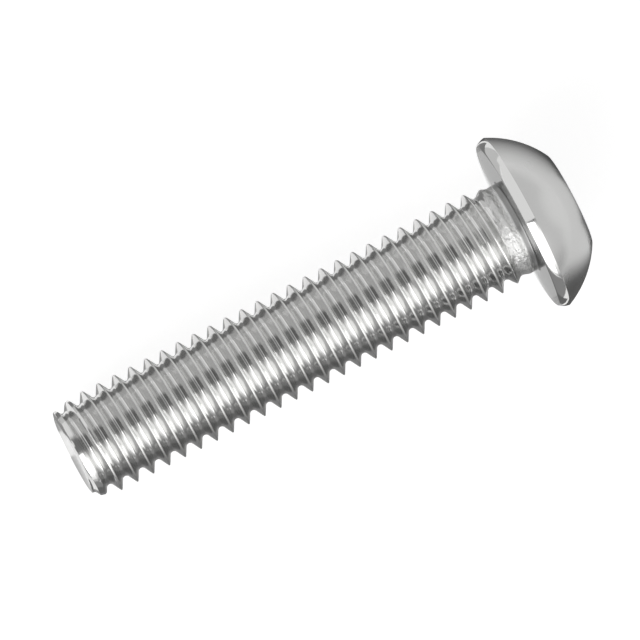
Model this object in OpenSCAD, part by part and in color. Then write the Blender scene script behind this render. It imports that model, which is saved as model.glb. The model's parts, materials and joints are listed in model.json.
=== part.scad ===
// Button head screw with a six-lobe socket, a pin in the socket and a rolled thread.
// The screw is drawn upright, with the seat of its head at height 0 and its tip down,
// and is then laid on its side as it comes to rest: on the rim of the head and on the
// last full crest of the thread. All sizes are in millimetres.

/* [Head] */
// Diameter of the head
head_d = 10.5; // [9.5:0.1:12]
// Height of the head above its seat
head_h = 3.3; // [3.1:0.05:4]
// Height of the rim, where the dome starts
rim_h = 0.58; // [0.46:0.02:0.8]
// Radius of the bulge of the rim, between the seat and the dome
rim_r = 1.15; // [1.1:0.05:1.4]
// Angle between the top of the rim and the axis, in degrees
rim_lean = 9; // [5:1:12]
// Diameter of the flat top, measured where the dome would meet it sharply
flat_d = 5.5; // [5:0.1:6.5]
// Radius of the edge round the flat top
flat_edge = 0.3; // [0.1:0.05:0.6]

/* [Socket] */
// Width of the socket across opposite lobes
lobes_d = 4.5; // [4.1:0.05:4.7]
// Width of the socket across opposite ridges
ridges_d = 3.25; // [3:0.05:3.4]
// Radius of one lobe
lobe_r = 0.39; // [0.34:0.01:0.44]
// Depth of the socket at its lobes
socket_depth = 2.25; // [1.8:0.05:2.35]
// Slope of the socket's floor towards its middle, in degrees
floor_slope = 15; // [5:1:16]
// Diameter of the pin in the socket
pin_d = 1.06; // [0.8:0.02:1.4]
// Depth of the pin's end below the flat top
pin_drop = 0.3; // [0.1:0.05:1]

/* [Neck] */
// Length of the plain neck under the head
neck_len = 0.4; // [0.4:0.1:3]
// Height of the crests of the thread over the neck
crest_over_neck = 0.285; // [0.2:0.005:0.4]
// Radius of the fillet between the neck and the seat
fillet_r = 0.35; // [0.1:0.05:0.4]

/* [Thread] */
// Length under the head
screw_len = 28; // [12:1:50]
// Diameter over the crests
thread_d = 5.92; // [5.5:0.02:6.4]
// Advance of one turn
pitch = 1; // [0.8:0.05:1.1]
// Angle between the two flanks of a groove, in degrees
flank_angle = 60; // [55:1:62]
// Width of the flat on a crest
crest_w = 0.12; // [0.08:0.01:0.16]
// Turn from the side the screw lies on to where a crest would meet the seat, in degrees
thread_turn = 65; // [0:5:355]
// Length over which the thread dies out towards the neck
runout = 1.7; // [0.4:0.1:2]

/* [Tip] */
// Diameter of the end face
tip_d = 4.5; // [3:0.05:4.6]
// Angle of the bevel round the end face, measured from the axis, in degrees
tip_angle = 75; // [60:1:75]
// Diameter over the crest nearest the end
tip_crest_d = 5.2; // [4.8:0.05:5.4]
// Length over which the crests rise to their full height
taper_len = 1.5; // [0.5:0.1:3]

/* [Hidden] */
$fn = 96;

steel = "#c8cacb";
cut = 1;                 // how far a cutting shape passes the surface it cuts
seam = 0.005;            // how far the end of the thread lies under the neck's skin
overlap = 0.25;          // how far one turned part reaches into the next
steps = 32;              // facets in one turn of the thread
arc_steps = 8;           // facets in one arc of the socket's outline
sixth = 60;              // angle from one lobe of the socket to the next, in degrees
spare_turns = 2;         // turns of the thread laid out past the tip, where it is cut off
groove_share = 0.63;     // depth of a groove as a share of the pitch
pin_sunk = pin_d / 4;    // how far the pin reaches into the floor of the socket

head_r = head_d / 2;
flat_r = flat_d / 2;
thread_r = thread_d / 2;
neck_r = thread_r - crest_over_neck;

// The dome is part of a sphere through the top of the rim and the edge of the flat.
dome_z = (pow(flat_r, 2) + pow(head_h, 2) - pow(head_r, 2) - pow(rim_h, 2)) / (2 * (head_h - rim_h));
dome_r = norm([head_r, rim_h - dome_z]);
crown_z = head_h - flat_edge;
crown_at = [sqrt(pow(dome_r - flat_edge, 2) - pow(crown_z - dome_z, 2)), crown_z];
crown_dir = (crown_at - [0, dome_z]) / (dome_r - flat_edge);

// The rim is part of an arc that the seat cuts below and the dome above.
rim_at = [head_r - rim_r * cos(rim_lean), rim_h + rim_r * sin(rim_lean)];

thread_depth = groove_share * pitch;
root_r = thread_r - thread_depth;
flank_w = thread_depth * tan(flank_angle / 2);
root_w = pitch - crest_w - 2 * flank_w;
neck_z = -neck_len;
full_z = neck_z - runout;    // the thread has its full depth from here to the tip
tip_z = -screw_len;
tip_r = min(tip_d / 2, root_r);
taper_slope = (thread_r - tip_crest_d / 2) / taper_len;

// Points of the thread's section over one pitch, as [height, radius]: root, flank, crest, flank
section = [
    [0, root_r],
    [root_w, root_r],
    [root_w + flank_w, thread_r],
    [root_w + flank_w + crest_w, thread_r]
];
sides = len(section);
crest_middle = root_w + flank_w + crest_w / 2;

// The thread is laid out in columns of corners, from under the tip to inside the neck.
top_z = neck_z + overlap;
snap = pitch / steps / 2;    // corners this near an end lie on it
start_z = -crest_middle - pitch * (thread_turn / 360 + spare_turns + ceil(screw_len / pitch));
turns = ceil((top_z - start_z) / pitch) + 1;
last_step = turns * steps;

function height(step, i) = start_z + pitch * step / steps + section[i][0];

// Radius of the thread: it stays inside the bevel and the taper at the tip, and dies out at the neck
function radius(z, r) =
    let (depth_share = max(0, min(1, (neck_z - z) / runout)))
    min(
        tip_r + (z - tip_z) * tan(tip_angle),
        tip_crest_d / 2 + (z - tip_z) * taper_slope,
        neck_r - seam + depth_share * (r - neck_r + seam)
    );

// The screw lies on its rim and on the corner of the thread that meets the ground first. It
// touches the ground with the bulge of the rim if it leans further than rim_lean, or else with the
// rim's top.
function tilt_onto(z, r) =
    let (
        to_rim = rim_at - [r, z],
        onto_bulge = atan2(to_rim[0], to_rim[1]) + asin(rim_r / norm(to_rim))
    )
    onto_bulge > rim_lean ? onto_bulge : atan2(head_r - r, rim_h - z);

rest_tilt = min([
    for (turn = [0 : turns - 1], i = [0 : sides - 1])
        let (z = height(turn * steps, i))
        if (z > tip_z && z < full_z) tilt_onto(z, radius(z, section[i][1]))
]);
axis_height = rest_tilt > rim_lean
    ? rim_at[0] * cos(rest_tilt) - rim_at[1] * sin(rest_tilt) + rim_r
    : head_r * cos(rest_tilt) - rim_h * sin(rest_tilt);
front_x = crown_at[0] * sin(rest_tilt) + crown_z * cos(rest_tilt) + flat_edge;
back_x = tip_z * cos(rest_tilt) - tip_r * sin(rest_tilt);

// Cross-section of the head, from its axis outwards
module head_section() {
    difference() {
        intersection() {
            translate([0, dome_z]) circle(dome_r);
            square([head_r + cut, head_h]);
        }
        outside_arc(rim_at, rim_r, [0, -1], [1, 0]);
        outside_arc(crown_at, flat_edge, crown_dir, [0, 1]);
    }
}

// What lies outside an arc, between its two ends as seen from its middle
module outside_arc(middle, r, from, to) {
    reach = r + cut;
    translate(middle) difference() {
        polygon([[0, 0], reach * from, reach * (from + to), reach * to]);
        circle(r);
    }
}

// Outline of the socket: six lobes with ridges between them, in arcs that run into each other
function arc_points(centre, r, from, to, count) = [
    for (i = [0 : count])
        let (angle = from + (to - from) * i / count)
        centre + r * [cos(angle), sin(angle)]
];

lobe_at = lobes_d / 2 - lobe_r;
ridge_r = (pow(lobe_at, 2) + pow(ridges_d / 2, 2) - lobe_at * ridges_d * cos(sixth / 2)
    - pow(lobe_r, 2)) / (2 * lobe_r - ridges_d + 2 * lobe_at * cos(sixth / 2));
ridge_at = ridges_d / 2 + ridge_r;

module socket_outline() {
    ridge = ridge_at * [cos(sixth / 2), sin(sixth / 2)];
    // Direction from the first lobe's middle to the first ridge's middle
    lean = atan2(ridge[1], ridge[0] - lobe_at);
    sector = concat(
        arc_points([lobe_at, 0], lobe_r, -lean, lean, arc_steps),
        arc_points(ridge, ridge_r, 180 + lean, 180 + sixth - lean, arc_steps)
    );
    last = len(sector) - 2;
    polygon([
        for (turn = [0 : sixth : 360 - sixth], i = [0 : last])
            [[cos(turn), -sin(turn)] * sector[i], [sin(turn), cos(turn)] * sector[i]]
    ]);
}

module socket() {
    mouth_r = lobes_d / 2;
    floor_fall = mouth_r * tan(floor_slope);
    translate([0, 0, head_h]) {
        intersection() {
            translate([0, 0, -head_h]) linear_extrude(head_h + cut) socket_outline();
            rotate_extrude() polygon([
                [0, cut],
                [head_r, cut],
                [head_r, -socket_depth + (head_r - mouth_r) * tan(floor_slope)],
                [0, -socket_depth - floor_fall]
            ]);
        }
        // The mouth is countersunk at 45 degrees down to the ridges
        translate([0, 0, -mouth_r]) cylinder(h = mouth_r + cut, r1 = 0, r2 = mouth_r + cut);
    }
}

module pin() {
    foot = socket_depth + (lobes_d - pin_d) / 2 * tan(floor_slope) + pin_sunk;
    translate([0, 0, head_h - foot]) cylinder(h = foot - pin_drop, d = pin_d);
}

module head() {
    difference() {
        rotate_extrude() head_section();
        socket();
    }
    pin();
}

module neck() {
    translate([0, 0, neck_z]) cylinder(h = neck_len + overlap, r = neck_r);
    rotate_extrude() translate([neck_r + fillet_r, -fillet_r]) difference() {
        translate([-fillet_r - overlap, 0]) square([fillet_r + overlap, fillet_r + overlap]);
        circle(fillet_r);
    }
}

function corner(step, i) =
    let (turn = 360 * step / steps, z = height(step, i), r = radius(z, section[i][1]))
    [r * cos(turn), r * sin(turn), z];

function ring(r, z) = [
    for (step = [0 : steps - 1])
        let (turn = 360 * step / steps)
        [r * cos(turn), r * sin(turn), z]
];

tip_ring = last_step * sides;
top_ring = tip_ring + steps;

// Number of a corner. Past an end it is the one point of its column on that end.
function number(step, i) =
    i == sides ? number(step + steps, 0)
    : height(step, i) < tip_z + snap ? tip_ring + step % steps
    : height(step, i) > top_z - snap ? top_ring + step % steps
    : step * sides + i;

function triangle(a, b, c) = a == b || b == c || c == a ? [] : [[a, b, c]];

module thread() {
    points = concat(
        [for (step = [0 : last_step - 1], i = [0 : sides - 1]) corner(step, i)],
        ring(tip_r, tip_z),
        ring(neck_r - seam, top_z)
    );
    skin = [
        for (step = [0 : last_step - 2], i = [0 : sides - 1])
            let (
                low = number(step, i),
                high = number(step, i + 1),
                next_low = number(step + 1, i),
                next_high = number(step + 1, i + 1)
            )
            each concat(triangle(low, high, next_high), triangle(low, next_high, next_low))
    ];
    ends = [
        [for (step = [0 : steps - 1]) tip_ring + step],
        [for (step = [0 : steps - 1]) top_ring + steps - 1 - step]
    ];
    polyhedron(points, concat(skin, ends));
}

module screw() {
    color(steel)
        translate([-(front_x + back_x) / 2, 0, axis_height])
        rotate([0, 90 - rest_tilt, 0])
        union() {
            head();
            neck();
            thread();
        }
}

screw();
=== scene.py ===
"""The looks of a stainless steel button head screw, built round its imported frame.

The screw lies on its side. It is made upright and in millimetres, with the seat of its head
at height 0 and its tip down, as one mesh of two turned parts: the head with its socket, spun
from a half section, and the thread, spun along a helix. It is then laid where the frame has it.
"""

import json
import math

import bmesh
import bpy
from mathutils import Matrix, Vector


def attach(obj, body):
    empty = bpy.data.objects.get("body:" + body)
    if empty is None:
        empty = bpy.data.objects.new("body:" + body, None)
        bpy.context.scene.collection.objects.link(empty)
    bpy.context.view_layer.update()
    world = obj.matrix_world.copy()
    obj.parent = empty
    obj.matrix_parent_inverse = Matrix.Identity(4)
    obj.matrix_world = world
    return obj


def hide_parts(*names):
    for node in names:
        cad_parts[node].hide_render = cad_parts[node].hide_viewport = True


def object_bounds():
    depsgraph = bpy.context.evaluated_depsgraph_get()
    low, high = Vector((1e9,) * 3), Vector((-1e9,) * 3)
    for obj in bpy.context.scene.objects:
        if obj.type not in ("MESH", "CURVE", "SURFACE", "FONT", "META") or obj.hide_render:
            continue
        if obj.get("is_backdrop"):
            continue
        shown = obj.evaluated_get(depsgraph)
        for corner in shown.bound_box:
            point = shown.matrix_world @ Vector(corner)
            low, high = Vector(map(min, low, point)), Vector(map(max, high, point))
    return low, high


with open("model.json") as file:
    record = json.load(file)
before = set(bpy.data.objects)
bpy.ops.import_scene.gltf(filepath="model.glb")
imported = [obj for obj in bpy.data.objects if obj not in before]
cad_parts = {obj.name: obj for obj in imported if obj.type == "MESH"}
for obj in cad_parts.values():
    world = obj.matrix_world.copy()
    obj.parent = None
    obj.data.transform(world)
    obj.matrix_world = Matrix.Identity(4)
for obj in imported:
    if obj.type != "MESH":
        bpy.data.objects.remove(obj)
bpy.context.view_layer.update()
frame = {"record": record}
MOUNTS = {mount["name"]: mount for mount in frame["record"]["mounts"]}

bl_info = {
    "name": "Button head screw",
    "version": (1, 0, 0),
    "blender": (4, 5, 0),
    "location": "3D View > Sidebar > Screw",
    "description": "Builds a stainless steel button head screw with a six-lobe socket",
    "category": "Add Mesh",
}

MM = 0.001                      # metres in a millimetre
HEAD_STEPS = 192                # facets round the head
THREAD_STEPS = 96               # facets in one turn of the thread
NEAR = 1e-5                     # how far from a height a corner may be and still lie on it, in mm
SAME = 1e-3                     # corners this near each other are one, in mm
SUPPORT = 0.02                  # width of a narrow face that keeps an edge's shading to it, in mm
SHARP = 35                      # degrees past which an edge between two faces stays sharp
RIM_STRIP = 2                   # degrees of the rim's arc that a narrow face beside its edge takes
FOOT_STRIP = 0.6                # degrees of the dome's arc that the one at its foot takes
CROWN_STRIP = 0.4               # degrees of the dome's arc that the one at its flat top takes
SOCKET_EDGE = 0.6               # how far the socket's edges reach sideways, as a share of their radius
TAPER_ROUNDING = 0.03           # width of the soft bend where the tip's taper starts, in mm
BEVEL_ROUNDING = 0.02           # width of the soft bend where the tip's bevel starts, in mm
TIP_CUTS = (0.03, 0.08, 0.14)   # heights over the tip, in mm, where more cuts let its bevel bend
# Rings of the end face: distance from the axis, and how far it is hollow there, in mm
END_RINGS = ((2.2, 0), (1.85, 0.004), (1.3, 0.02), (0.7, 0.03), (0.25, 0.034))

# The photograph's view
VIEW_LEAN = 4.8                 # degrees by which the camera stands to the tip's side of square
VIEW_ROLL = 27.3                # degrees by which the head's end is turned up
VIEW_SCALE = 17.9               # pixels to a millimetre
VIEW_WIDTH = 640                # pixels across
SEAT_AT = (197.3, 93.8)         # pixels right of and above the picture's middle to the seat's
CAMERA_FAR = 0.9                # metres from the camera to the screw

# The stage. A tone of 1 is white
FLOOR_GLOW = 0.80               # light of its own that the floor shows to the camera and the metal
ROOM_LIGHT = 0.3                # light that the room gives to matt surfaces
TENT_SHADE = 0.2                # share of the room that the grey tent hides from the metal
TENT_FAR = 0.9                  # metres from the screw's middle to the tent
TENT_REACH = (-0.16, 3.0)       # metres from the screw's middle to its ends, towards the head
SOFTBOX_POWER = 8               # watts
SOFTBOX_SIZE = (0.89, 1.6)      # width and length in metres
SOFTBOX_WAY = -46               # degrees from the camera towards +Y
SOFTBOX_BACK = 1.0              # metres from the screw's middle, towards the tip
SOFTBOX_FRAME = 0.046           # width of the frame beside it, in metres
FRAME_TONE = 0.2
CARD_FAR = 0.5                  # metres from the screw's middle to the cards round it
CARD_FADE = 0.6                 # share of half a card over which it fades
FLAG_HEIGHT = 0.0003            # metres from the floor to the cards on it

# Cards round the screw that only the metal shows: name, degrees from the camera towards +Y and
# towards the head, half of its width and of its length in degrees, tone, and how much it fades
# towards its sides and its ends
CARDS = (
    ("key_softbox", -42, -15, 34, 62, 1.85, (1, 1)),
    ("dark_wall", -94, 0, 18, 66, 0.4, (1, 1)),
    ("lens", 17.5, 2, 30, 27, 0.2, (1, 0)),
)
# Cards on the floor that only the metal shows: name, least and most x and y in metres, tone
FLAGS = (
    ("seat_flag", 0.0105, 0.0125, -0.0070, 0.0070, 0.50),
    ("head_front_flag", 0.0158, 0.0280, -0.0048, 0.0048, 0.05),
    # Painted shadow: the next three lie under and beside the shank, and darken the floor that the
    # metal mirrors there, where the screw's shadow would be and the floor's glow leaves it white
    ("under_flag", -0.0165, 0.0105, -0.0030, 0.0000, 0.50),
    ("low_under_flag", -0.0165, 0.0105, -0.0045, -0.0030, 0.26),
    ("outline_flag", -0.0600, 0.0105, 0.0015, 0.0033, 0.35),
    ("shank_low_flag", -0.0600, 0.0123, -0.0110, -0.0045, 0.17),
    ("shank_side_flag", -0.0600, 0.0123, 0.0047, 0.0104, 0.25),
    ("far_low_flag", -0.0600, 0.0105, -0.5000, -0.0110, 0.32),
    ("far_side_flag", -0.0600, 0.0105, 0.0104, 0.5000, 0.72),
)
# The card over the rim: distance from the axis, and reach from the seat to the tip's and to the
# dome's side, in metres. It starts and ends so many degrees from the camera towards +Y
RIM_CARD = (0.00825, 0.0013, 0.0027)
RIM_CARD_TURN = (-0.6, 69.4)
RIM_CARD_TONE = 1.0

# Shade on the floor round the head's foot, which only the metal shows
HEAD_FOOT = (0.015, 0, 0.0002)  # metres
SHADE_SIDE = 0.12               # side of its card, in metres
SHADE_BACK = 0.0022             # metres from the foot to the card's edge under the head
SHADE_TONE = 0.12
SHADE_LEAST = 0.18              # share of it that is everywhere
SHADE_LOW = (-36, -64)          # degrees from +X between which the full shade towards -Y starts
SHADE_HIGH = (5, 30)            # the same for the shade towards +Y
SHADE_REACH = 0.0075            # metres within which that one is full


def length(name, description, default):
    """A size that a user can change, given here in millimetres."""
    return bpy.props.FloatProperty(
        name=name, description=description, default=default * MM, min=0, max=0.1,
        unit="LENGTH", subtype="DISTANCE", precision=5,
    )


def angle(name, description, default):
    """An angle that a user can change, given here in degrees."""
    return bpy.props.FloatProperty(
        name=name, description=description, default=math.radians(default),
        unit="ROTATION", subtype="ANGLE",
    )


def linear(code):
    """The linear colour of an sRGB hex value."""
    parts = [int(code[i:i + 2], 16) / 255 for i in (1, 3, 5)]
    return [c / 12.92 if c <= 0.04045 else ((c + 0.055) / 1.055) ** 2.4 for c in parts]


def colour(name, description, code):
    """A colour that a user can change, given here as an sRGB hex value."""
    return bpy.props.FloatVectorProperty(
        name=name, description=description, default=linear(code), size=3,
        min=0, max=1, subtype="COLOR",
    )


class ScrewHeadSizes(bpy.types.PropertyGroup):
    """Sizes of the head and its socket"""

    diameter: length("Diameter", "Across the head", 10.5)
    height: length("Height", "From the seat to the flat top", 3.3)
    rim_height: length("Rim height", "From the seat to where the dome starts", 0.58)
    rim_bulge: length("Rim bulge", "Radius of the rim's bulge", 1.15)
    rim_lean: angle("Rim lean", "Angle between the top of the rim and the axis", 9)
    seat_edge: length("Seat edge", "Radius of the edge between the seat and the rim", 0.12)
    dome_edge: length("Dome edge", "Radius of the edge between the rim and the dome", 0.06)
    flat_diameter: length("Flat diameter", "Where the dome would meet the flat top sharply", 5.5)
    flat_edge: length("Flat edge", "Radius of the edge round the flat top", 0.3)
    lobes: length("Across lobes", "Width of the socket across opposite lobes", 4.5)
    ridges: length("Across ridges", "Width of the socket across opposite ridges", 3.25)
    lobe: length("Lobe", "Radius of one lobe", 0.39)
    depth: length("Socket depth", "From the flat top to the floor at the lobes", 2.25)
    mouth_edge: length("Mouth edge", "Radius of the edge round the socket's mouth", 0.05)
    floor_edge: length("Floor edge", "Radius where the socket's wall meets its floor", 0.08)
    floor_slope: angle("Floor slope", "Slope of the socket's floor towards its middle", 15)
    pin: length("Pin", "Diameter of the pin in the socket", 1.06)
    pin_drop: length("Pin drop", "From the flat top down to the pin's end", 0.3)
    pin_edge: length("Pin edge", "Radius of the edge at the pin's end", 0.08)


class ScrewThreadSizes(bpy.types.PropertyGroup):
    """Sizes of the neck, the thread and the tip"""

    length: length("Length", "From the seat to the end of the tip", 28)
    diameter: length("Diameter", "Over the crests", 5.92)
    pitch: length("Pitch", "Advance of one turn", 1)
    crest: length("Crest", "Width of the flat on a crest before its edges are rounded", 0.07)
    crest_edge: length("Crest edge", "Radius of the edges of a crest", 0.055)
    root: length("Root", "Radius of the bottom of a groove", 0.2)
    flanks: angle("Flank angle", "Angle between the two flanks of a groove", 60)
    turn: angle("Turn", "From the underside to where a crest would meet the seat", 65)
    neck_length: length("Neck length", "Plain neck under the head", 0.4)
    crest_over_neck: length("Crest over neck", "Height of the crests over the neck", 0.285)
    fillet: length("Fillet", "Radius between the neck and the seat", 0.12)
    runout: length("Run-out", "Length over which the thread dies out", 1.7)
    tip: length("Tip", "Diameter of the end face", 4.5)
    tip_bevel: angle("Tip bevel", "Angle of the bevel round the end face, from the axis", 75)
    tip_crest: length("Tip crest", "Diameter over the crest nearest the end", 5.2)
    taper: length("Taper", "Length over which the crests rise to their full height", 1.5)


class ScrewFinish(bpy.types.PropertyGroup):
    """Colours of the metal and the stage"""

    steel: colour("Steel", "Stainless steel, as light reflects from it", "#d3d3d2")
    # The dome's tone is the steel's, darkened: painted shade for the dimmer light that the dome
    # mirrors
    dome: colour("Dome", "Tumbled stainless steel, which is a little greyer", "#cacac9")
    floor: colour("Floor", "Pale matt floor", "#cdcdcd")


def in_mm(group):
    """The sizes of a group in millimetres, and its angles in radians, by name."""
    sizes = {}
    for name, declared in group.bl_rna.properties.items():
        if declared.type == "FLOAT":
            value = getattr(group, name)
            sizes[name] = value if declared.unit == "ROTATION" else value / MM
    return sizes


def arc(centre, radius, start, end, count):
    """Points (radius, height) on an arc of the section, with its ends. Angles in degrees."""
    angles = [math.radians(start + (end - start) * i / count) for i in range(count + 1)]
    return [(centre[0] + radius * math.cos(a), centre[1] + radius * math.sin(a)) for a in angles]


def line(start, end, count):
    """Points (radius, height) on a line of the section, without its first one."""
    return [
        tuple(a + (b - a) * i / count for a, b in zip(start, end)) for i in range(1, count + 1)
    ]


def add_section(bm, points):
    """Adds a chain of corners and edges in the plane of azimuth 0, to be spun round the axis."""
    corners = [bm.verts.new((r, 0, z)) for r, z in points]
    edges = [bm.edges.new(pair) for pair in zip(corners, corners[1:])]
    return corners + edges


def in_polar(corner):
    """Azimuth and distance from the axis."""
    return math.atan2(corner.co.y, corner.co.x), math.hypot(corner.co.x, corner.co.y)


def put(corner, azimuth, r, z):
    """Places a corner by azimuth, distance from the axis and height."""
    corner.co = (r * math.cos(azimuth), r * math.sin(azimuth), z)


class Socket:
    """The outline of the socket, as the distance of its wall from the axis."""

    def __init__(self, head):
        self.outer = head["lobes"] / 2
        self.lobe = head["lobe"]
        self.lobe_at = self.outer - self.lobe
        inner = head["ridges"] / 2
        cos30 = math.cos(math.radians(30))
        # The radius of a ridge follows from the lobes on both sides, which it runs into
        self.ridge = (
            (self.lobe_at ** 2 + inner ** 2 - 2 * self.lobe_at * inner * cos30 - self.lobe ** 2)
            / (2 * (self.lobe - inner + self.lobe_at * cos30))
        )
        self.ridge_at = inner + self.ridge
        # The two arcs run into each other on the line between their middles
        ridge_middle = Vector((self.ridge_at * cos30, self.ridge_at / 2))
        lobe_middle = Vector((self.lobe_at, 0))
        meet = lobe_middle + (ridge_middle - lobe_middle).normalized() * self.lobe
        self.change = math.atan2(meet.y, meet.x)

    def wall(self, azimuth):
        """Distance of the wall from the axis at an azimuth."""
        sixth = math.radians(60)
        off = abs((azimuth + sixth / 2) % sixth - sixth / 2)
        if off < self.change:
            across = self.lobe_at * math.sin(off)
            return self.lobe_at * math.cos(off) + math.sqrt(self.lobe ** 2 - across ** 2)
        off = sixth / 2 - off
        across = self.ridge_at * math.sin(off)
        return self.ridge_at * math.cos(off) - math.sqrt(self.ridge ** 2 - across ** 2)


def head_section(head, thread):
    """The head's half section from the neck round the rim and the dome to the socket's mouth."""
    head_r, rim_z, bulge = head["diameter"] / 2, head["rim_height"], head["rim_bulge"]
    neck_r = thread["diameter"] / 2 - thread["crest_over_neck"]
    fillet = thread["fillet"]
    points = arc((neck_r + fillet, -fillet), fillet, 180, 90, 8)
    # The rim is an arc that leans a little at the dome and ends on the seat with a small edge
    lean = math.degrees(head["rim_lean"])
    rim_r = head_r - bulge * math.cos(head["rim_lean"])
    rim_at = rim_z + bulge * math.sin(head["rim_lean"])
    edge = head["seat_edge"]
    edge_r = rim_r + math.sqrt((bulge - edge) ** 2 - (rim_at - edge) ** 2)
    meet = math.degrees(math.atan2(edge - rim_at, edge_r - rim_r))
    points += line(points[-1], (edge_r - SUPPORT, 0), 6)
    points += arc((edge_r, edge), edge, -90, meet, 6)
    points += arc((rim_r, rim_at), bulge, meet, -lean - RIM_STRIP, 10)[1:]
    # The dome is part of a sphere through the top of the rim and the edge of the flat
    flat_r, top, flat_edge = head["flat_diameter"] / 2, head["height"], head["flat_edge"]
    middle = (flat_r ** 2 + top ** 2 - head_r ** 2 - rim_z ** 2) / (2 * (top - rim_z))
    dome_r = math.hypot(head_r, rim_z - middle)
    foot = math.degrees(math.asin((rim_z - middle) / dome_r))
    # The edge between them turns from the rim's lean to the dome's
    half_turn = math.radians(foot + lean) / 2
    edge = head["dome_edge"]
    back, tilt = edge / math.cos(half_turn), math.radians(foot - lean) / 2
    edge_middle = (head_r - back * math.cos(tilt), rim_z - back * math.sin(tilt))
    points += arc(edge_middle, edge, -lean, foot, 6)
    crown_z = top - flat_edge
    crown_r = math.sqrt((dome_r - flat_edge) ** 2 - (crown_z - middle) ** 2)
    crown = math.degrees(math.atan2(crown_z - middle, crown_r))
    points += arc((0, middle), dome_r, foot + FOOT_STRIP, crown - CROWN_STRIP, 36)
    points += arc((crown_r, crown_z), flat_edge, crown, 90, 10)
    mouth = head["lobes"] / 2 + 2 * head["mouth_edge"]
    points += line(points[-1], (points[-1][0] - SUPPORT, top), 1)
    points += line(points[-1], (mouth, top), 3)
    return points


def socket_section(head):
    """The half section of the socket: its wall at a lobe, its floor, and the pin up to its end."""
    outer, top, depth = head["lobes"] / 2, head["height"], head["depth"]
    pin_r, pin_edge = head["pin"] / 2, head["pin_edge"]
    wall = line((outer, top), (outer, top - depth), 10)[:-1]
    foot_z = top - depth - (outer - pin_r) * math.tan(head["floor_slope"])
    floor = [(outer, top - depth)] + line((outer, top - depth), (pin_r, foot_z), 8)
    pin_top = top - head["pin_drop"]
    pin = line((pin_r, foot_z), (pin_r, pin_top - pin_edge), 6)
    pin += arc((pin_r - pin_edge, pin_top - pin_edge), pin_edge, 0, 90, 4)[1:]
    pin += line(pin[-1], (0, pin_top), 3)
    return wall, floor, pin


def make_head(bm, head, thread):
    """Spins the head's section round the axis, and presses the socket's six lobes into its wall."""
    body = head_section(head, thread)
    wall, floor, pin = socket_section(head)
    top, edge = head["height"], head["mouth_edge"]
    # The mouth's rounded edge, from which a countersink at 45 degrees leads down to the wall
    lip = arc((head["lobes"] / 2 + 2 * edge, top - edge), edge, 90, 135, 3)[1:]
    lip.append((head["lobes"] / 2 + edge * SOCKET_EDGE, top - edge))
    # Each corner keeps the number of its ring, so that the socket's rings can be told later
    ring = bm.verts.layers.int.new("ring")
    section = add_section(bm, body + lip + wall + floor + pin)
    for number, corner in enumerate(c for c in section if isinstance(c, bmesh.types.BMVert)):
        corner[ring] = number + 1
    bmesh.ops.spin(
        bm, geom=section, cent=(0, 0, 0), axis=(0, 0, 1), dvec=(0, 0, 0),
        angle=math.tau, steps=HEAD_STEPS, use_merge=True,
    )
    bmesh.ops.remove_doubles(bm, verts=bm.verts, dist=SAME)
    socket = Socket(head)
    first_wall = len(body) + len(lip)
    first_floor = first_wall + len(wall)
    first_pin = first_floor + len(floor)
    slope = math.tan(head["floor_slope"])
    pin_r = head["pin"] / 2
    for corner in bm.verts:
        number = corner[ring] - 1
        if not first_wall <= number < first_pin:
            continue
        azimuth = in_polar(corner)[0]
        reach = socket.wall(azimuth)
        if number < first_floor:
            share = (number - first_wall) / (len(wall) - 1)
            high = top - 2 * edge - (socket.outer - reach)
            low = top - head["depth"] - (socket.outer - reach) * slope + head["floor_edge"]
            put(corner, azimuth, reach, high + (low - high) * share)
        else:
            share = (number - first_floor) / (len(floor) - 1)
            outer = reach - head["floor_edge"] * SOCKET_EDGE
            r = outer + (pin_r - outer) * share
            put(corner, azimuth, r, top - head["depth"] - (socket.outer - r) * slope)


def thread_section(thread):
    """One pitch of the thread's section as (radius, height), from one groove's bottom to the next."""
    pitch, crest_r = thread["pitch"], thread["diameter"] / 2
    lean = thread["flanks"] / 2
    root, half_crest = thread["root"], thread["crest"] / 2
    swing = math.degrees(math.pi / 2 - lean)
    # A groove's bottom is an arc that both flanks touch, over the point where they would cross
    cross_r = crest_r - (pitch / 2 - half_crest) / math.tan(lean)
    groove = arc((cross_r + root / math.sin(lean), 0), root, 180, 180 - swing, 4)
    # Each edge of the crest is an arc that the flank and the crest touch, and the two stay apart
    inset_share = math.tan(math.radians(swing) / 2)
    edge = min(thread["crest_edge"], 0.95 * half_crest / inset_share)
    edge_z = pitch / 2 - half_crest + edge * inset_share
    crest = arc((crest_r - edge, edge_z), edge, -swing, 0, 3)
    # The flank's corners near its ends keep the shading of both arcs off it
    flank = [
        tuple(a + (b - a) * share for a, b in zip(groove[-1], crest[0]))
        for share in (0.12, 0.5, 0.88)
    ]
    rising = groove + flank + crest
    falling = [(r, pitch - z) for r, z in reversed(rising)]
    return rising + falling[:-1]


def soft_min(a, b, width):
    """The smaller of two values, rounded off where they are within the width of each other."""
    near = max(0.0, width - abs(a - b)) / width
    return min(a, b) - near * near * width / 4


def thread_radius(thread, z, r):
    """Distance of a corner of the thread from the axis, with the tip's taper and the run-out."""
    crest_r = thread["diameter"] / 2
    neck_r = crest_r - thread["crest_over_neck"]
    above = max(0.0, z + thread["length"])
    share = max(0.0, min(1.0, (-thread["neck_length"] - z) / thread["runout"]))
    slope = (crest_r - thread["tip_crest"] / 2) / thread["taper"]
    r = neck_r + share * (r - neck_r)
    r = soft_min(r, thread["tip_crest"] / 2 + above * slope, TAPER_ROUNDING)
    bevel = thread["tip"] / 2 + above * math.tan(thread["tip_bevel"])
    return min(r, bevel) if above < NEAR else soft_min(r, bevel, BEVEL_ROUNDING)


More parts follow.
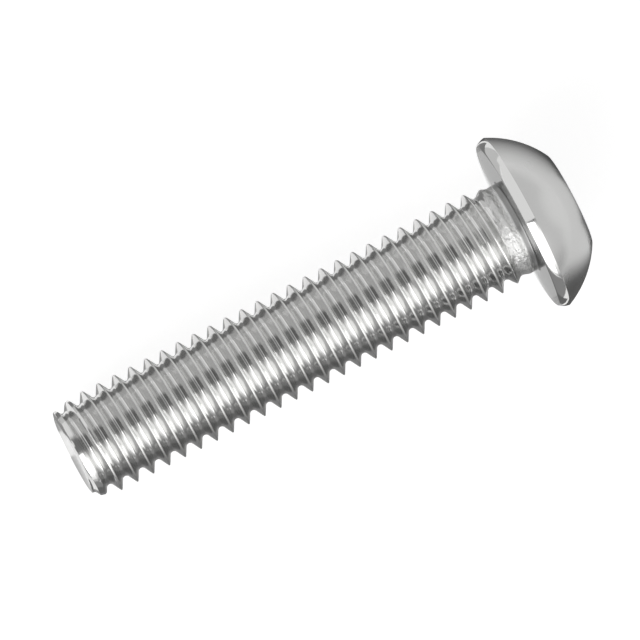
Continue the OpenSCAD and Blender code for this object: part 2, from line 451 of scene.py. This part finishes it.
def cut_at(bm, z, clear_above=False, clear_below=False):
    """Cuts the mesh at a height, and may clear one side."""
    bmesh.ops.bisect_plane(
        bm, geom=bm.verts[:] + bm.edges[:] + bm.faces[:], dist=NEAR, plane_co=(0, 0, z),
        plane_no=(0, 0, 1), clear_outer=clear_above, clear_inner=clear_below,
    )


def is_ring(edge, z):
    """Whether an open edge lies at a height."""
    return edge.is_boundary and all(abs(v.co.z - z) < NEAR for v in edge.verts)


def make_thread(bm, thread):
    """Spins the thread's section along its helix, cuts it to length, and closes the tip."""
    pitch, tip_z, neck_z = thread["pitch"], -thread["length"], -thread["neck_length"]
    one = thread_section(thread)
    turns = math.ceil(thread["length"] / pitch)
    # The section starts below the tip and ends over the neck, where it is cut. The middle of each
    # pitch is a crest, and the last crest would meet the seat at the azimuth of the turn
    low = -pitch * (thread["turn"] / math.tau + turns + 1.5)
    points = [(r, low + pitch * turn + z) for turn in range(turns + 4) for r, z in one]
    bmesh.ops.spin(
        bm, geom=add_section(bm, points), cent=(0, 0, 0), axis=(0, 0, 1),
        dvec=(0, 0, pitch / THREAD_STEPS), angle=math.tau, steps=THREAD_STEPS, use_merge=False,
    )
    bmesh.ops.remove_doubles(bm, verts=bm.verts, dist=SAME)
    cut_at(bm, neck_z, clear_above=True)
    cut_at(bm, tip_z, clear_below=True)
    for above in TIP_CUTS:
        cut_at(bm, tip_z + above)
    for corner in bm.verts:
        azimuth, r = in_polar(corner)
        put(corner, azimuth, thread_radius(thread, corner.co.z, r), corner.co.z)
    # The end face is drawn in from its edge, and is a little hollow
    rim = [e for e in bm.edges if is_ring(e, tip_z)]
    for r, sink in END_RINGS:
        drawn = bmesh.ops.extrude_edge_only(bm, edges=rim)["geom"]
        rim = [item for item in drawn if isinstance(item, bmesh.types.BMEdge) and item.is_boundary]
        for corner in {v for edge in rim for v in edge.verts}:
            put(corner, in_polar(corner)[0], r, tip_z + sink)
    bmesh.ops.poke(bm, faces=bmesh.ops.contextual_create(bm, geom=rim)["faces"])


def make_screw(head, thread):
    """The whole screw as one closed mesh, upright and in millimetres."""
    bm = bmesh.new()
    make_thread(bm, thread)
    made = bmesh.new()
    make_head(made, head, thread)
    held = bpy.data.meshes.new("head_part")
    made.to_mesh(held)
    made.free()
    bm.from_mesh(held)
    bpy.data.meshes.remove(held)
    heights = (-thread["neck_length"], -thread["fillet"])
    bmesh.ops.bridge_loops(bm, edges=[e for e in bm.edges if any(is_ring(e, z) for z in heights)])
    bmesh.ops.recalc_face_normals(bm, faces=bm.faces)
    return bm


# In the order of the screw's materials
FINISHES = ("dome", "rim", "seat", "socket", "thread", "tip")


def finish_of(face, head, thread):
    """The place in FINISHES of a face's finish."""
    middle = face.calc_center_median()
    r = math.hypot(middle.x, middle.y)
    if middle.z < -thread["neck_length"]:
        # The end face is a little hollow, so it is told by its lying within 0.1 mm of the tip
        on_end = middle.z < -thread["length"] + 0.1 and r < thread["tip"] / 2
        return FINISHES.index("tip" if on_end else "thread")
    if middle.z < NEAR:
        return FINISHES.index("seat" if middle.z > -NEAR else "thread")
    if middle.z < head["rim_height"] and r > head["lobes"] / 2:
        return FINISHES.index("rim")
    inside = r < head["lobes"] / 2 + head["mouth_edge"] and middle.z < head["height"] - NEAR
    return FINISHES.index("socket" if inside else "dome")


def add_node(tree, kind, inputs=None, **settings):
    """Adds a node with its settings. Each input gets a value, or a link from a node or an output."""
    node = tree.nodes.new(kind)
    for name, value in settings.items():
        setattr(node, name, value)
    for name, value in (inputs or {}).items():
        source = value.outputs[0] if isinstance(value, bpy.types.Node) else value
        if isinstance(source, bpy.types.NodeSocket):
            tree.links.new(source, node.inputs[name])
        else:
            node.inputs[name].default_value = source
    return node


def own_tree(name, holder):
    """A new material or world, and its node tree, emptied."""
    made = holder.new(name)
    made.use_nodes = True
    made.node_tree.nodes.clear()
    return made, made.node_tree


def own_place(tree):
    """The place on the upright screw, in metres from its seat, with X along its axis to the head."""
    axis = Vector(MOUNTS["seat"]["axis"])
    return add_node(tree, "ShaderNodeMapping", {
        "Vector": add_node(tree, "ShaderNodeTexCoord").outputs["Object"],
        "Location": MOUNTS["seat"]["pos_m"],
        "Rotation": (0, math.atan2(axis.z, -axis.x), 0),
    }, vector_type="TEXTURE")


def roll_marks_and_painted_shade(tree, thread, own, rough, bump, tint):
    """Dull crests and a mottled run-out that rolling leaves, with painted shade on the run-out and
    under the head.
    """
    place = add_node(tree, "ShaderNodeSeparateXYZ", {"Vector": own}).outputs
    off_axis = add_node(tree, "ShaderNodeVectorMath", {0: own, 1: (0, 1, 1)}, operation="MULTIPLY")
    r = add_node(tree, "ShaderNodeVectorMath", {0: off_axis}, operation="LENGTH").outputs["Value"]
    # The mottled part starts along a slant, where the last groove ends
    slant = add_node(tree, "ShaderNodeMath", {
        0: place["Y"], 1: -0.1, 2: place["X"],
    }, operation="MULTIPLY_ADD")
    crest_r, neck_z = thread["diameter"] / 2, -thread["neck_length"]
    crest, past_groove, below_corner, corner = [
        add_node(tree, "ShaderNodeMapRange", {
            "Value": value, "From Min": start * MM, "From Max": end * MM,
        }, interpolation_type="SMOOTHSTEP")
        for value, start, end in (
            (r, crest_r - 0.06, crest_r - 0.02),
            (slant, neck_z - 0.95, neck_z - 0.7),
            (place["X"], neck_z + 0.06, neck_z - 0.09),
            (place["X"], neck_z - 0.03, neck_z + 0.13),
        )
    ]
    run_out = add_node(tree, "ShaderNodeMath", {
        0: past_groove, 1: below_corner,
    }, operation="MULTIPLY")
    for part, more in ((crest, 0.2), (run_out, 0.28), (corner, 0.16)):
        rough = add_node(tree, "ShaderNodeMath", {
            0: part, 1: more, 2: rough,
        }, operation="MULTIPLY_ADD")
    # Painted shade: the colour is a little darker over the run-out, which dims its highlight,
    # and much darker in the corner under the head
    shade = 1
    for part, less in ((run_out, 0.13), (corner, 0.6)):
        shade = add_node(tree, "ShaderNodeMath", {
            0: part, 1: -less, 2: shade,
        }, operation="MULTIPLY_ADD")
    # The marks are 0.24 mm wide, and run round the neck, so they are stretched off the axis
    stretched = add_node(tree, "ShaderNodeMapping", {"Vector": own, "Scale": (1, 0.5, 0.5)})
    marks = add_node(tree, "ShaderNodeTexNoise", {
        "Vector": stretched, "Scale": 1 / (0.24 * MM), "Detail": 3, "Roughness": 0.6,
    })
    level = add_node(tree, "ShaderNodeMath", {0: marks, 1: 0.5}, operation="SUBTRACT")
    height = add_node(tree, "ShaderNodeMath", {0: level, 1: run_out}, operation="MULTIPLY")
    return {
        "Roughness": rough,
        "Normal": add_node(tree, "ShaderNodeBump", {
            "Height": height, "Strength": 1, "Distance": 0.16 * MM, "Normal": bump,
        }),
        "Base Color": add_node(tree, "ShaderNodeVectorMath", {
            0: tint, "Scale": shade,
        }, operation="SCALE"),
    }


def steel(name, tint, roughness, spread, bump_mm, grain_mm, thread=None):
    """Stainless steel whose grain stands proud by bump_mm. The thread's has roll marks and painted
    shade as well.

    Real grain is finer than the picture shows, so it is drawn about 0.1 mm wide.
    """
    made, tree = own_tree(name, bpy.data.materials)
    own = own_place(tree)
    # The roughness drifts a little, in patches a few millimetres wide
    patches = add_node(tree, "ShaderNodeTexNoise", {
        "Vector": own, "Scale": 1 / (2.2 * MM), "Detail": 2, "Roughness": 0.5,
    })
    rough = add_node(tree, "ShaderNodeMapRange", {
        "Value": patches, "To Min": roughness - spread, "To Max": roughness + spread,
    })
    grain = add_node(tree, "ShaderNodeTexNoise", {
        "Vector": own, "Scale": 1 / (grain_mm * MM), "Detail": 3, "Roughness": 0.6,
    })
    bump = add_node(tree, "ShaderNodeBump", {
        "Height": grain, "Strength": 1, "Distance": bump_mm * MM,
    })
    look = {"Base Color": (*tint, 1), "Metallic": 1, "Roughness": rough, "Normal": bump}
    if thread:
        look.update(roll_marks_and_painted_shade(tree, thread, own, rough, bump, tint))
    shader = add_node(tree, "ShaderNodeBsdfPrincipled", look)
    add_node(tree, "ShaderNodeOutputMaterial", {"Surface": shader})
    return made


class SCREW_OT_screw(bpy.types.Operator):
    """Build the screw in place of its node"""

    bl_idname = "screw.screw"
    bl_label = "Screw"

    def execute(self, context):
        scene = context.scene
        head, thread = in_mm(scene.screw_head), in_mm(scene.screw_thread)
        bm = make_screw(head, thread)
        for face in bm.faces:
            face.smooth = True
            face.material_index = finish_of(face, head, thread)
        for edge in bm.edges:
            if edge.is_manifold and edge.calc_face_angle(0) > math.radians(SHARP):
                edge.smooth = False
        seat = MOUNTS["seat"]
        axis = Vector(seat["axis"])
        lay = Matrix.Rotation(math.atan2(-axis.x, -axis.z), 4, "Y")
        bmesh.ops.transform(bm, verts=bm.verts, matrix=Matrix.Scale(MM, 4))
        bmesh.ops.transform(bm, verts=bm.verts, matrix=Matrix.Translation(seat["pos_m"]) @ lay)
        mesh = bpy.data.meshes.new("button_head_screw")
        bm.to_mesh(mesh)
        bm.free()
        piece = bpy.data.objects.new("button_head_screw", mesh)
        scene.collection.objects.link(piece)
        metal, dome = tuple(scene.screw_finish.steel), tuple(scene.screw_finish.dome)
        for material in (
            # Tumbling leaves the dome a soft, even sheen without sharp reflections
            # Its tone, darker than the steel's, is painted shade
            steel("tumbled_stainless_dome", dome, 0.26, 0.04, 0.0006, 0.08),
            # The rim is bright, and mirrors the softboxes as clear shapes
            steel("polished_stainless_rim", metal, 0.08, 0.02, 0.0003, 0.1),
            # The seat is flat and plain grey, with a slight blur
            steel("turned_stainless_seat", metal, 0.15, 0.03, 0.0004, 0.1),
            # The punch leaves the socket's walls dull, which makes it read as deep
            steel("punched_stainless_socket", metal, 0.34, 0.05, 0.0015, 0.12),
            # Rolling leaves bright flanks and grooves that mirror each other as strokes
            # Its run-out and the corner under the head are darkened: painted shade
            steel("rolled_stainless_thread", metal, 0.14, 0.03, 0.0008, 0.1, thread),
            # The end face is dull where it was sheared off
            steel("sheared_stainless_tip", metal, 0.36, 0.05, 0.0015, 0.1),
        ):
            mesh.materials.append(material)
        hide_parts("screw")
        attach(piece, "root")
        return {"FINISHED"}


def view_axes():
    """The photograph's view: along the screw to the head, across it, and towards the camera."""
    along = -Vector(MOUNTS["seat"]["axis"])
    turn = math.atan2(along.z, along.x) + math.radians(VIEW_LEAN)
    towards = Vector((-math.sin(turn), 0, math.cos(turn)))
    in_view = (along - along.dot(towards) * towards).normalized()
    return in_view, towards.cross(in_view), towards


def way(toward_y):
    """The direction across the screw that lies so many degrees from the camera, towards +Y."""
    along, across, towards = view_axes()
    turn = math.radians(toward_y)
    return math.cos(turn) * towards + math.sin(turn) * across


def aim(item, place, target, up):
    """Puts an object at a place, looking at the target, with its top towards up."""
    back = (place - target).normalized()
    right = up.cross(back).normalized()
    turned = Matrix((right, back.cross(right), back)).transposed()
    item.matrix_world = Matrix.Translation(place) @ turned.to_4x4()


def cover(tree, tone, share):
    """Ends a card's material, which glows in one tone over a share of it and is clear elsewhere."""
    glow = add_node(tree, "ShaderNodeEmission", {"Color": (1, 1, 1, 1), "Strength": tone})
    clear = add_node(tree, "ShaderNodeBsdfTransparent")
    mix = add_node(tree, "ShaderNodeMixShader", {0: share, 1: clear, 2: glow})
    add_node(tree, "ShaderNodeOutputMaterial", {"Surface": mix})


def card_material(name, tone, share=1.0, fade=None):
    """A plain card of one tone. It covers a share of what is behind it, or fades to its edges."""
    made, tree = own_tree(name, bpy.data.materials)
    if fade:
        place = add_node(tree, "ShaderNodeTexCoord").outputs["Object"]
        shrunk = add_node(tree, "ShaderNodeMapping", {"Vector": place, "Scale": (*fade, 1)})
        ball = add_node(tree, "ShaderNodeTexGradient", {"Vector": shrunk}, gradient_type="SPHERICAL")
        share = add_node(tree, "ShaderNodeMapRange", {
            "Value": ball.outputs["Fac"], "From Max": CARD_FADE,
        }, interpolation_type="SMOOTHSTEP")
    cover(tree, tone, share)
    return made


def shade_material():
    """Shade round the origin: full towards -Y, and thinning out with distance towards +Y."""
    made, tree = own_tree("head_shade", bpy.data.materials)
    place = add_node(tree, "ShaderNodeTexCoord").outputs["Object"]
    parts = add_node(tree, "ShaderNodeSeparateXYZ", {"Vector": place}).outputs
    turn = add_node(tree, "ShaderNodeMath", {0: parts["Y"], 1: parts["X"]}, operation="ARCTAN2")
    far = add_node(tree, "ShaderNodeVectorMath", {0: place}, operation="LENGTH").outputs["Value"]
    near = add_node(tree, "ShaderNodeMath", {
        0: SHADE_REACH, 1: far,
    }, operation="DIVIDE", use_clamp=True)
    low, high = [
        add_node(tree, "ShaderNodeMapRange", {
            "Value": turn, "From Min": math.radians(start), "From Max": math.radians(end),
        }, interpolation_type="SMOOTHSTEP")
        for start, end in (SHADE_LOW, SHADE_HIGH)
    ]
    high = add_node(tree, "ShaderNodeMath", {0: near, 1: high}, operation="MULTIPLY")
    both = add_node(tree, "ShaderNodeMath", {0: high, 1: low}, operation="MAXIMUM")
    share = add_node(tree, "ShaderNodeMath", {0: both, 1: SHADE_LEAST}, operation="MAXIMUM")
    cover(tree, SHADE_TONE, share)
    return made


def seen_straight(tree):
    """1 for rays from the camera and for those that metal and glass send on, else 0."""
    path = add_node(tree, "ShaderNodeLightPath").outputs
    seen = path["Is Camera Ray"]
    for kind in ("Is Glossy Ray", "Is Transmission Ray"):
        seen = add_node(tree, "ShaderNodeMath", {0: seen, 1: path[kind]}, operation="MAXIMUM")
    return seen


def paper_floor(tint):
    """A pale matt floor, white where it is looked at or shows in the metal, with the shadow on it."""
    made, tree = own_tree("matt_paper_floor", bpy.data.materials)
    strength = add_node(tree, "ShaderNodeMath", {
        0: seen_straight(tree), 1: FLOOR_GLOW,
    }, operation="MULTIPLY")
    paper = add_node(tree, "ShaderNodeBsdfDiffuse", {"Color": (*tint, 1)})
    glow = add_node(tree, "ShaderNodeEmission", {"Color": (1, 1, 1, 1), "Strength": strength})
    both = add_node(tree, "ShaderNodeAddShader", {0: paper, 1: glow})
    add_node(tree, "ShaderNodeOutputMaterial", {"Surface": both})
    return made


def white_room():
    """A world that is white where it is seen and lights the screw a little from all round."""
    made, tree = own_tree("white_room", bpy.data.worlds)
    strength = add_node(tree, "ShaderNodeMapRange", {
        "Value": seen_straight(tree), "To Min": ROOM_LIGHT, "To Max": 1.0,
    })
    back = add_node(tree, "ShaderNodeBackground", {"Color": (1, 1, 1, 1), "Strength": strength})
    add_node(tree, "ShaderNodeOutputWorld", {"Surface": back})
    return made


def add_staged(scene, name, bm, material):
    """An object of the stage, made from a bmesh."""
    mesh = bpy.data.meshes.new(name)
    bm.to_mesh(mesh)
    bm.free()
    mesh.materials.append(material)
    item = bpy.data.objects.new(name, mesh)
    scene.collection.objects.link(item)
    item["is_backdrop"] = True
    return item


def add_reflected(scene, name, bm, material):
    """An object of the stage that only shows in reflections."""
    item = add_staged(scene, name, bm, material)
    item.visible_camera = False
    item.visible_diffuse = False
    item.visible_shadow = False
    return item


def add_card(scene, name, place, target, up, size, material):
    """A flat card that only shows in reflections."""
    bm = bmesh.new()
    bmesh.ops.create_grid(bm, x_segments=1, y_segments=1, size=0.5)
    bmesh.ops.scale(bm, vec=(*size, 1), verts=bm.verts)
    aim(add_reflected(scene, name, bm, material), place, target, up)


def add_floor(scene):
    """The floor, 6 metres square."""
    bm = bmesh.new()
    bmesh.ops.create_grid(bm, x_segments=1, y_segments=1, size=3)
    add_staged(scene, "floor", bm, paper_floor(tuple(scene.screw_finish.floor)))


def add_cards(scene, middle):
    """The cards round the screw and those on the floor."""
    along = view_axes()[0]
    for name, toward_y, toward_head, half_wide, half_long, tone, fades in CARDS:
        size = [2 * CARD_FAR * math.tan(math.radians(half)) for half in (half_wide, half_long)]
        target = middle + CARD_FAR * math.tan(math.radians(toward_head)) * along
        material = card_material(name, tone, fade=[2 * much / side for much, side in zip(fades, size)])
        add_card(scene, name, target + CARD_FAR * way(toward_y), target, along, size, material)
    for name, x_low, x_high, y_low, y_high, tone in FLAGS:
        place = Vector(((x_low + x_high) / 2, (y_low + y_high) / 2, FLAG_HEIGHT))
        size = (y_high - y_low, x_high - x_low)
        material = card_material(name, tone)
        add_card(scene, name, place, place - Vector((0, 0, 1)), Vector((1, 0, 0)), size, material)


def add_tent(scene, middle):
    """Half a tube over the screw, which shades what the metal reflects of the room."""
    along, across, towards = view_axes()
    bm = bmesh.new()
    ends = [bm.verts.new(middle + across * TENT_FAR + along * reach) for reach in TENT_REACH]
    section = ends + [bm.edges.new(ends)]
    bmesh.ops.spin(bm, geom=section, cent=middle, axis=along, angle=math.pi, steps=48)
    add_reflected(scene, "grey_tent", bm, card_material("grey_tent", 0, TENT_SHADE))


def add_rim_card(scene):
    """Part of a white tube over the rim, which keeps the lens out of what the rim mirrors."""
    along = view_axes()[0]
    seat = Vector(MOUNTS["seat"]["pos_m"])
    far, to_tip, to_dome = RIM_CARD
    start, end = RIM_CARD_TURN
    bm = bmesh.new()
    ends = [bm.verts.new(seat + far * way(start) + reach * along) for reach in (-to_tip, to_dome)]
    bmesh.ops.spin(
        bm, geom=ends + [bm.edges.new(ends)], cent=seat, axis=along,
        angle=math.radians(start - end), steps=18,
    )
    add_reflected(scene, "rim_card", bm, card_material("rim_card", RIM_CARD_TONE))


def add_head_shade(scene):
    """A card on the floor, from under the head outwards, for what the dome mirrors there."""
    bm = bmesh.new()
    bmesh.ops.create_grid(bm, x_segments=1, y_segments=1, size=SHADE_SIDE / 2)
    bmesh.ops.translate(bm, vec=(SHADE_SIDE / 2 - SHADE_BACK, 0, 0), verts=bm.verts)
    add_reflected(scene, "head_shade", bm, shade_material()).location = HEAD_FOOT


def add_softbox(scene, middle):
    """The large softbox, towards the tip, where the rim mirrors it and its frame as a thin line."""
    along = view_axes()[0]
    box_way = way(SOFTBOX_WAY)
    place = middle + CARD_FAR * box_way - SOFTBOX_BACK * along
    data = bpy.data.lights.new("rim_softbox", "AREA")
    data.shape = "RECTANGLE"
    data.size, data.size_y = SOFTBOX_SIZE
    data.energy = SOFTBOX_POWER
    lamp = bpy.data.objects.new("rim_softbox", data)
    lamp.visible_camera = False
    scene.collection.objects.link(lamp)
    aim(lamp, place, place - box_way, along)
    # The frame laps over the softbox's edge by 1 mm, so that no gap shows between them
    frame_at = place + ((SOFTBOX_SIZE[0] + SOFTBOX_FRAME) / 2 - MM) * way(SOFTBOX_WAY + 90)
    add_card(
        scene, "rim_softbox_frame", frame_at, frame_at - box_way, along,
        (SOFTBOX_FRAME, SOFTBOX_SIZE[1]), card_material("softbox_frame", FRAME_TONE),
    )


def add_camera(scene):
    """The camera, which sees the screw as the photograph does."""
    along, across, towards = view_axes()
    roll = math.radians(VIEW_ROLL)
    right = math.cos(roll) * along - math.sin(roll) * across
    up = math.sin(roll) * along + math.cos(roll) * across
    seat = Vector(MOUNTS["seat"]["pos_m"])
    target = seat - (SEAT_AT[0] * right + SEAT_AT[1] * up) * MM / VIEW_SCALE
    data = bpy.data.cameras.new("camera")
    data.sensor_width = 36
    data.lens = VIEW_SCALE / MM * CAMERA_FAR / VIEW_WIDTH * data.sensor_width
    data.clip_start = 0.1
    data.clip_end = 10
    camera = bpy.data.objects.new("camera", data)
    scene.collection.objects.link(camera)
    scene.camera = camera
    aim(camera, target + CAMERA_FAR * towards, target, up)


class SCREW_OT_stage(bpy.types.Operator):
    """Add the floor, the cards, the lamp and the camera"""

    bl_idname = "screw.stage"
    bl_label = "Stage"

    def execute(self, context):
        scene = context.scene
        low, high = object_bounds()
        middle = (low + high) / 2
        add_floor(scene)
        scene.world = white_room()
        add_tent(scene, middle)
        add_cards(scene, middle)
        add_head_shade(scene)
        add_rim_card(scene)
        add_softbox(scene, middle)
        add_camera(scene)
        scene.view_settings.view_transform = "Standard"
        return {"FINISHED"}


class SCREW_PT_panel(bpy.types.Panel):
    """The screw's sizes and its operators"""

    bl_idname = "SCREW_PT_panel"
    bl_label = "Button head screw"
    bl_space_type = "VIEW_3D"
    bl_region_type = "UI"
    bl_category = "Screw"

    def draw(self, context):
        scene = context.scene
        for group in (scene.screw_head, scene.screw_thread, scene.screw_finish):
            box = self.layout.box()
            for name in group.bl_rna.properties.keys():
                if name not in ("rna_type", "name"):
                    box.prop(group, name)
        self.layout.operator("screw.screw")
        self.layout.operator("screw.stage")


CLASSES = (
    ScrewHeadSizes, ScrewThreadSizes, ScrewFinish, SCREW_OT_screw, SCREW_OT_stage, SCREW_PT_panel,
)


def register():
    """Registers the classes and puts the sizes on the scene."""
    for item in CLASSES:
        bpy.utils.register_class(item)
    bpy.types.Scene.screw_head = bpy.props.PointerProperty(type=ScrewHeadSizes)
    bpy.types.Scene.screw_thread = bpy.props.PointerProperty(type=ScrewThreadSizes)
    bpy.types.Scene.screw_finish = bpy.props.PointerProperty(type=ScrewFinish)


def unregister():
    """Takes the sizes and the classes away again."""
    del bpy.types.Scene.screw_finish
    del bpy.types.Scene.screw_thread
    del bpy.types.Scene.screw_head
    for item in reversed(CLASSES):
        bpy.utils.unregister_class(item)


def main():
    """Builds the screw and its stage."""
    register()
    bpy.ops.screw.screw()
    bpy.ops.screw.stage()


if __name__ == "__main__":
    main()
